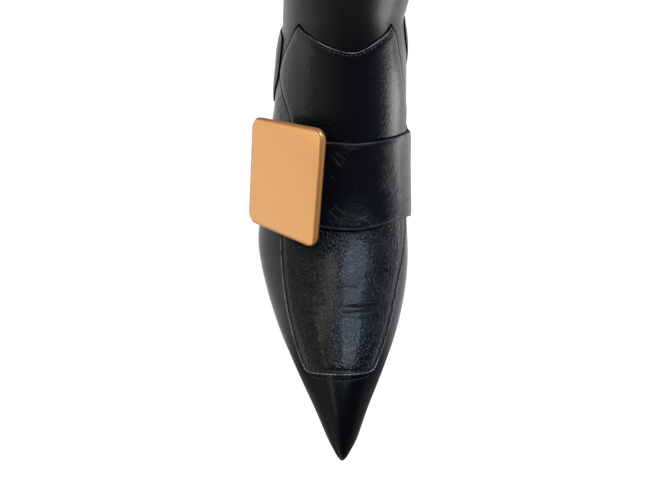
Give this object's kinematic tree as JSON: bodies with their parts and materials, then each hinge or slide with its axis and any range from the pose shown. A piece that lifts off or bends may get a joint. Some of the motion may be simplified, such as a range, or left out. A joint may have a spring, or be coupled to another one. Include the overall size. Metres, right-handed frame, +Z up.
{
  "type": "ankle bootie",
  "caption": "Pointed black leather ankle bootie for the right foot, on a block heel, with an apron front, a wide instep strap and a plain square metal plate on its outer side.",
  "frame": {"origin": "middle of the overall box in plan, on the floor", "axes": "+Z up, the toe points to -Y and the outer side of the foot, with the plate, is -X"},
  "size_m": [0.0912, 0.2668, 0.182],
  "materials": {
    "upper": "black glazed calf, satin gloss",
    "apron_tongue": "black glazed calf, satin gloss",
    "back_quarter": "black glazed calf, satin gloss",
    "strap": "black glazed calf, satin gloss",
    "plate": "polished gold colour",
    "insole": "dark lining leather, matt",
    "outsole": "black edge dye, satin",
    "heel": "black covered block, satin",
    "heel_top_lift": "matt"
  },
  "bodies": {
    "root": {"upper": "upper", "apron_tongue": "apron_tongue", "back_quarter": "back_quarter", "strap": "strap", "plate": "plate", "insole": "insole", "outsole": "outsole", "heel": "heel", "heel_top_lift": "heel_top_lift"}
  },
  "joints": []
}
